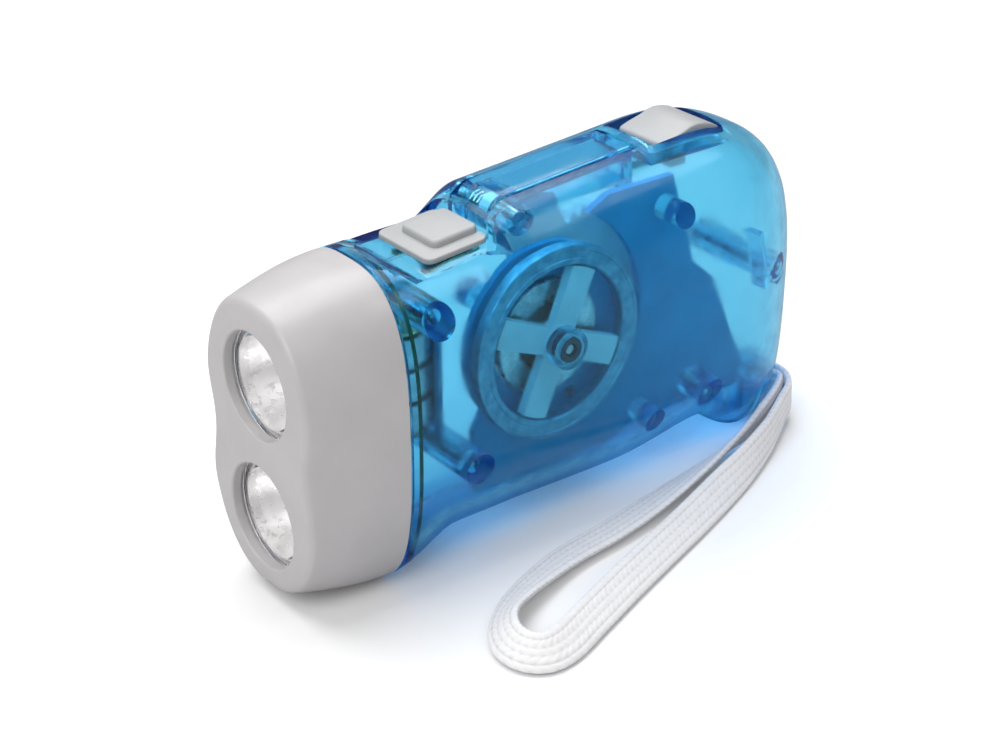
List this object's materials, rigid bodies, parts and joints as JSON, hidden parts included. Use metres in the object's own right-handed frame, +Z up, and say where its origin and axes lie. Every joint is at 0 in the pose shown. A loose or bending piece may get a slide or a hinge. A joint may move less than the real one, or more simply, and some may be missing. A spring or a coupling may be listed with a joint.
{
  "type": "dynamo flashlight",
  "caption": "Hand-squeezed dynamo flashlight: a clear case with a folding lever on top, a grey lamp head, a slide switch, a latch and a wrist strap.",
  "frame": {"origin": "middle of the case's length and thickness, on the surface it stands on", "axes": "+X from the lamps to the rear, +Y from the strap's side to the far side, +Z up to the lever"},
  "size_m": [0.102, 0.0563, 0.0571],
  "materials": {
    "clear_shell": "clear tinted, smooth moulded",
    "head_grey": "satin moulded",
    "button_grey": "satin moulded",
    "lens": "clear, polished",
    "reflector": "bright mirror coating",
    "lamp": "clear lamp body",
    "board": "printed board",
    "nylon": "moulded, plain",
    "steel": "bright turned",
    "contact": "bright strip",
    "magnet": "sintered, dull",
    "carrier": "moulded, plain",
    "dark": "moulded, plain",
    "winding": "enamelled wire",
    "cell": "plated can",
    "strap": "flat braid"
  },
  "bodies": {
    "case": {"near_shell": "clear_shell", "far_shell": "clear_shell", "head_shell": "head_grey", "lens_low": "lens", "lens_high": "lens", "reflector_low": "reflector", "reflector_high": "reflector", "led_low": "lamp", "led_high": "lamp", "lamp_board": "board", "rectifier_board": "board", "lever_pin": "steel", "lever_spring": "steel", "drive_axle": "steel", "clutch_axle": "steel", "stator_cup_near": "steel", "stator_cup_far": "steel", "strap_pin": "steel", "switch_contact_near": "contact", "switch_contact_far": "contact", "cell_contact_low": "contact", "cell_contact_high": "contact", "screw_front_top": "steel", "screw_front_low": "steel", "screw_rear_top": "steel", "screw_rear_low": "steel", "rotor_bushing": "dark", "gear_bracket": "carrier", "cell_holder": "carrier", "diode_1": "dark", "diode_2": "dark", "diode_3": "dark", "diode_4": "dark", "coil_winding": "winding", "button_cell_1": "cell", "button_cell_2": "cell", "button_cell_3": "cell", "wrist_strap": "strap"},
    "lever": {"press_lever": "clear_shell", "sector_gear": "nylon"},
    "drive": {"drive_gear": "nylon"},
    "clutch_driver": {"clutch_pinion": "nylon"},
    "clutch_driven": {"clutch_wheel": "nylon"},
    "rotor": {"rotor_shaft": "steel", "rotor_pinion": "nylon", "rotor_magnet": "magnet", "flywheel_hub": "nylon", "flywheel_rim": "steel"},
    "switch": {"switch_slider": "button_grey"},
    "latch": {"latch_slider": "button_grey"}
  },
  "joints": [
    {"name": "lever_hinge", "type": "hinge", "parent": "case", "child": "lever", "pos_m": [-0.0094, 0, 0.0512], "axis": [0, -1, 0], "range_deg": [0, 26]},
    {"name": "drive_spin", "type": "hinge", "parent": "case", "child": "drive", "pos_m": [0.01006, 0, 0.03336], "axis": [0, -1, 0], "range_deg": [-130, 0]},
    {"name": "clutch_driver_spin", "type": "hinge", "parent": "case", "child": "clutch_driver", "pos_m": [0.00084, 0, 0.01974], "axis": [0, -1, 0], "range_deg": [0, 425.5]},
    {"name": "clutch_driven_spin", "type": "hinge", "parent": "case", "child": "clutch_driven", "pos_m": [0.00084, 0, 0.01974], "axis": [0, -1, 0], "continuous": true},
    {"name": "rotor_spin", "type": "hinge", "parent": "case", "child": "rotor", "pos_m": [-0.0044, 0, 0.0312], "axis": [0, -1, 0], "continuous": true},
    {"name": "switch_slide", "type": "slide", "parent": "case", "child": "switch", "axis": [-0.9965, 0, -0.0836], "range_m": [0, 0.002]},
    {"name": "latch_slide", "type": "slide", "parent": "case", "child": "latch", "axis": [-1, 0, 0], "range_m": [0, 0.0024]}
  ],
  "couplings": [
    {"joint": "drive_spin", "follows": "lever_hinge", "ratio": -5},
    {"joint": "clutch_driver_spin", "follows": "lever_hinge", "ratio": 16.364},
    {"joint": "clutch_driven_spin", "follows": "rotor_spin", "ratio": -0.3125}
  ]
}
